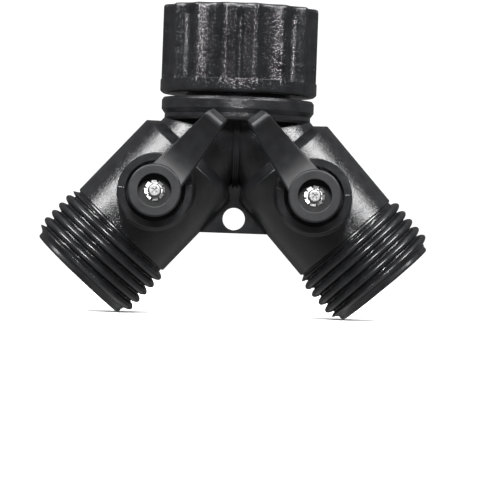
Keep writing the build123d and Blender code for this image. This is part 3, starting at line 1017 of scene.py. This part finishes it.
@dataclass
class LeverValve(SubAssembly):
    """One quarter-turn valve: ball, seats, stem and rings inside, lever, lock washer and screw outside."""

    side: Side
    washer_floor: float = 24.4
    washer_thickness: float = 0.4
    washer_hole: float = 1.2
    washer_ring: float = 1.62
    washer_radius: float = 2.1
    teeth: int = 8
    tooth_width: float = 1.12
    tooth_twist: float = 17.0
    tooth_thinness: float = 0.75
    ring_points: int = 64
    crease: float = 30.0

    def star_tree(self) -> bpy.types.NodeTree:
        """Tree of the lock washer: a flat ring with twisted teeth set round it.

        Returns:
            The finished tree.
        """
        tree = FormTree(f"toothed_washer_{self.side.label}")
        hole = tree.size("Hole radius")
        ring = tree.size("Ring radius")
        outer = tree.size("Tooth radius")
        thickness = tree.size("Thickness")
        count = tree.size("Teeth", "NodeSocketInt")
        width = tree.size("Tooth width")
        twist = tree.size("Twist")
        middle = tree.maths("MULTIPLY", tree.maths("ADD", hole, ring), 0.5)
        around = {"Resolution": self.ring_points, "Radius": middle}
        circle = tree.node("GeometryNodeCurvePrimitiveCircle", around)
        broad = tree.maths("SUBTRACT", ring, hole)
        strip = tree.node("GeometryNodeCurvePrimitiveQuadrilateral", {"Width": broad, "Height": thickness})
        swept = {"Curve": circle.outputs[0], "Profile Curve": strip.outputs[0]}
        band = tree.node("GeometryNodeCurveToMesh", swept)
        length = tree.maths("SUBTRACT", outer, middle)
        thinner = tree.maths("MULTIPLY", thickness, self.tooth_thinness)
        size = tree.node("ShaderNodeCombineXYZ", {"X": length, "Y": width, "Z": thinner})
        tooth = tree.node("GeometryNodeMeshCube", {"Size": size.outputs[0]})
        seat = tree.maths("ADD", middle, tree.maths("MULTIPLY", length, 0.5))
        spots = tree.node("GeometryNodeMeshCircle", {"Vertices": count, "Radius": seat})
        number = tree.node("GeometryNodeInputIndex").outputs[0]
        angle = tree.maths("DIVIDE", tree.maths("MULTIPLY", number, math.tau), count)
        turn = tree.node("ShaderNodeCombineXYZ", {"X": twist, "Z": angle})
        wanted = {"Points": spots.outputs[0], "Instance": tooth.outputs[0], "Rotation": turn.outputs[0]}
        teeth = tree.node("GeometryNodeInstanceOnPoints", wanted)
        joined = tree.node("GeometryNodeJoinGeometry")
        tree.feed(joined.inputs[0], band.outputs[0])
        tree.feed(joined.inputs[0], teeth.outputs[0])
        tree.close(joined.outputs[0], self.palette.star)
        return tree.tree

    def lock_washer(self) -> bpy.types.Object:
        """Makes the toothed lock washer under the screw's head.

        Returns:
            The finished piece.
        """
        sizes = {
            "Hole radius": self.washer_hole,
            "Ring radius": self.washer_ring,
            "Tooth radius": self.washer_radius,
            "Thickness": self.washer_thickness,
            "Teeth": self.teeth,
            "Tooth width": self.tooth_width,
            "Twist": math.radians(self.tooth_twist),
        }
        lift = Matrix.Translation((0, 0, self.washer_floor + self.washer_thickness / 2))
        seed = bpy.data.meshes.new(f"washer_seed_{self.side.label}")
        place = valve_frame(self.side) @ lift
        name = f"lock_washer_teeth_{self.side.label}"
        return grown(name, seed, self.star_tree(), sizes, place, crease=self.crease)

    def build(self) -> None:
        """Dresses the valve's CAD pieces and makes its lock washer."""
        label = self.side.label
        finishes = {
            f"ball_{label}": self.palette.inner,
            f"seat_inner_{label}": self.palette.seats,
            f"seat_outer_{label}": self.palette.seats,
            f"stem_{label}": self.palette.inner,
            f"stem_o_rings_{label}": self.palette.rings,
            f"lever_{label}": self.palette.lever,
            f"lever_screw_{label}": self.palette.screw,
        }
        for node, material in finishes.items():
            self.dress(node, material)
        self.hand_over(self.lock_washer(), f"lock_washer_{label}", f"valve_{label}", "lock_washer_steel")


@dataclass
class YBody(SubAssembly):
    """The moulded body: collar, arms, valve towers, rib and fixing web."""

    def build(self) -> None:
        """Dresses the body."""
        self.dress("body", self.palette.body)


# --- Studio --------------------------------------------------------------------------------------


@dataclass(frozen=True)
class SoftBox:
    """A rectangular studio light that faces the splitter, in metres and watts."""

    name: str
    place: tuple[float, float, float]
    width: float
    height: float
    power: float

    def switch_on(self, target: Vector) -> bpy.types.Object:
        """Hangs the light and aims it.

        Args:
            target: The point it faces.

        Returns:
            The light.
        """
        data = bpy.data.lights.new(self.name, "AREA")
        data.shape = "RECTANGLE"
        data.size, data.size_y = self.width, self.height
        data.energy = self.power
        lamp = bpy.data.objects.new(self.name, data)
        lamp.location = self.place
        lamp.rotation_euler = (target - lamp.location).to_track_quat("-Z", "Y").to_euler()
        bpy.context.scene.collection.objects.link(lamp)
        return lamp


@dataclass(frozen=True)
class Studio:
    """Pale floor, white surroundings, soft lights and the camera."""

    lights: tuple[SoftBox, ...] = (
        SoftBox("upper_left", (-0.43, -0.29, 0.44), 0.32, 0.32, 9.0),
        SoftBox("upper_right", (0.43, -0.29, 0.44), 0.32, 0.32, 9.0),
        SoftBox("front", (0.0, -0.55, 0.24), 0.16, 0.08, 5.5),
        SoftBox("overhead", (0.0, 0.15, 0.6), 0.5, 0.3, 0.4),
        SoftBox("table_glow", (0.0, 0.0, -0.4), 1.0, 1.0, 1.2),
    )
    floor_wash: SoftBox = SoftBox("floor_wash", (0.0, 0.0, 0.75), 1.3, 1.3, 22.0)
    floor_reach: float = 0.75
    floor_dark: tuple[float, float, float] = (0.9, 0.9, 0.9)
    floor_light: tuple[float, float, float] = (0.93, 0.93, 0.93)
    floor_roughness: float = 0.9
    backdrop: float = 1.0
    glow: float = 0.12
    camera_distance: float = 0.64
    camera_height: float = -0.05035
    lens: float = 213.8
    sensor: float = 36.0
    image_width: int = 500
    aim_right: float = 17.1
    aim_down: float = 5.5
    roll: float = 2.07

    def floor(self, height: float, target: Vector) -> None:
        """Lays the floor, which has a light of its own and doesn't show in the splitter's gloss.

        Args:
            height: The lowest point of the splitter.
            target: The point that lights face.
        """
        mesh = bpy.data.meshes.new("floor")
        reach = self.floor_reach
        square = ((-reach, -reach), (reach, -reach), (reach, reach), (-reach, reach))
        corners = [(x, y, height) for x, y in square]
        mesh.from_pydata(corners, [], [(0, 1, 2, 3)])
        finish = Finish("floor_paper")
        finish.tint(self.floor_dark, self.floor_light, finish.noise(60.0))
        finish.shader.inputs["Roughness"].default_value = self.floor_roughness
        mesh.materials.append(finish.material)
        plane = bpy.data.objects.new("floor", mesh)
        plane.visible_glossy = plane.visible_diffuse = plane.visible_shadow = False
        bpy.context.scene.collection.objects.link(plane)
        plane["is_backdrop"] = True
        lit = bpy.data.collections.new("floor_only")
        lit.objects.link(plane)
        self.floor_wash.switch_on(target).light_linking.receiver_collection = lit

    def surroundings(self) -> None:
        """White to the camera, and a dim even glow on the splitter."""
        world = bpy.data.worlds.new("surroundings")
        world.use_nodes = True
        graph = NodeGraph(world.node_tree)
        seen = graph.node("ShaderNodeLightPath").outputs["Is Camera Ray"]
        strength = graph.maths("ADD", graph.maths("MULTIPLY", seen, self.backdrop), self.glow)
        glow = graph.node("ShaderNodeBackground", {"Color": (1, 1, 1, 1), "Strength": strength})
        output = graph.node("ShaderNodeOutputWorld")
        graph.feed(output.inputs["Surface"], glow.outputs[0])
        bpy.context.scene.world = world

    def camera(self) -> None:
        """Sets up a long lens in front of the splitter, level with the fixing hole's foot."""
        data = bpy.data.cameras.new("camera")
        data.lens, data.sensor_width = self.lens, self.sensor
        data.clip_start, data.clip_end = 0.01, 20.0
        focal = self.lens / self.sensor * self.image_width
        level = Vector((0, 0, -1))
        seen_at = Vector((-self.aim_right, self.aim_down, -focal)).normalized()
        rolled = Matrix.Rotation(math.radians(90), 4, "X") @ Matrix.Rotation(math.radians(self.roll), 4, "Z")
        turn = seen_at.rotation_difference(level).to_matrix().to_4x4()
        place = Matrix.Translation((0, -self.camera_distance, self.camera_height))
        camera = bpy.data.objects.new("camera", data)
        camera.matrix_world = place @ rolled @ turn
        bpy.context.scene.collection.objects.link(camera)
        bpy.context.scene.camera = camera

    def build(self, low: Vector, high: Vector) -> None:
        """Sets the whole studio up round the splitter.

        Args:
            low: Its lowest corner.
            high: Its highest corner.
        """
        middle = (low + high) / 2
        for light in self.lights:
            light.switch_on(middle)
        self.floor(low.z, middle)
        self.surroundings()
        self.camera()
        bpy.context.scene.view_settings.view_transform = "Standard"
        LOG.info("studio set with %d lights", len(self.lights))


def main() -> None:
    logging.basicConfig(level=logging.INFO, format="%(name)s: %(message)s")
    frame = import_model()
    cad_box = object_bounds()
    palette = Palette()
    pieces: list[SubAssembly] = [
        YBody(frame, palette),
        SwivelNut(frame, palette),
        InletSeals(frame, palette),
    ]
    for side in Side:
        pieces.append(ThreadedOutlet(frame, palette, side))
        pieces.append(LeverValve(frame, palette, side))
    for piece in pieces:
        piece.build()
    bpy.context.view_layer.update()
    Studio().build(*cad_box)


if __name__ == "__main__":
    main()
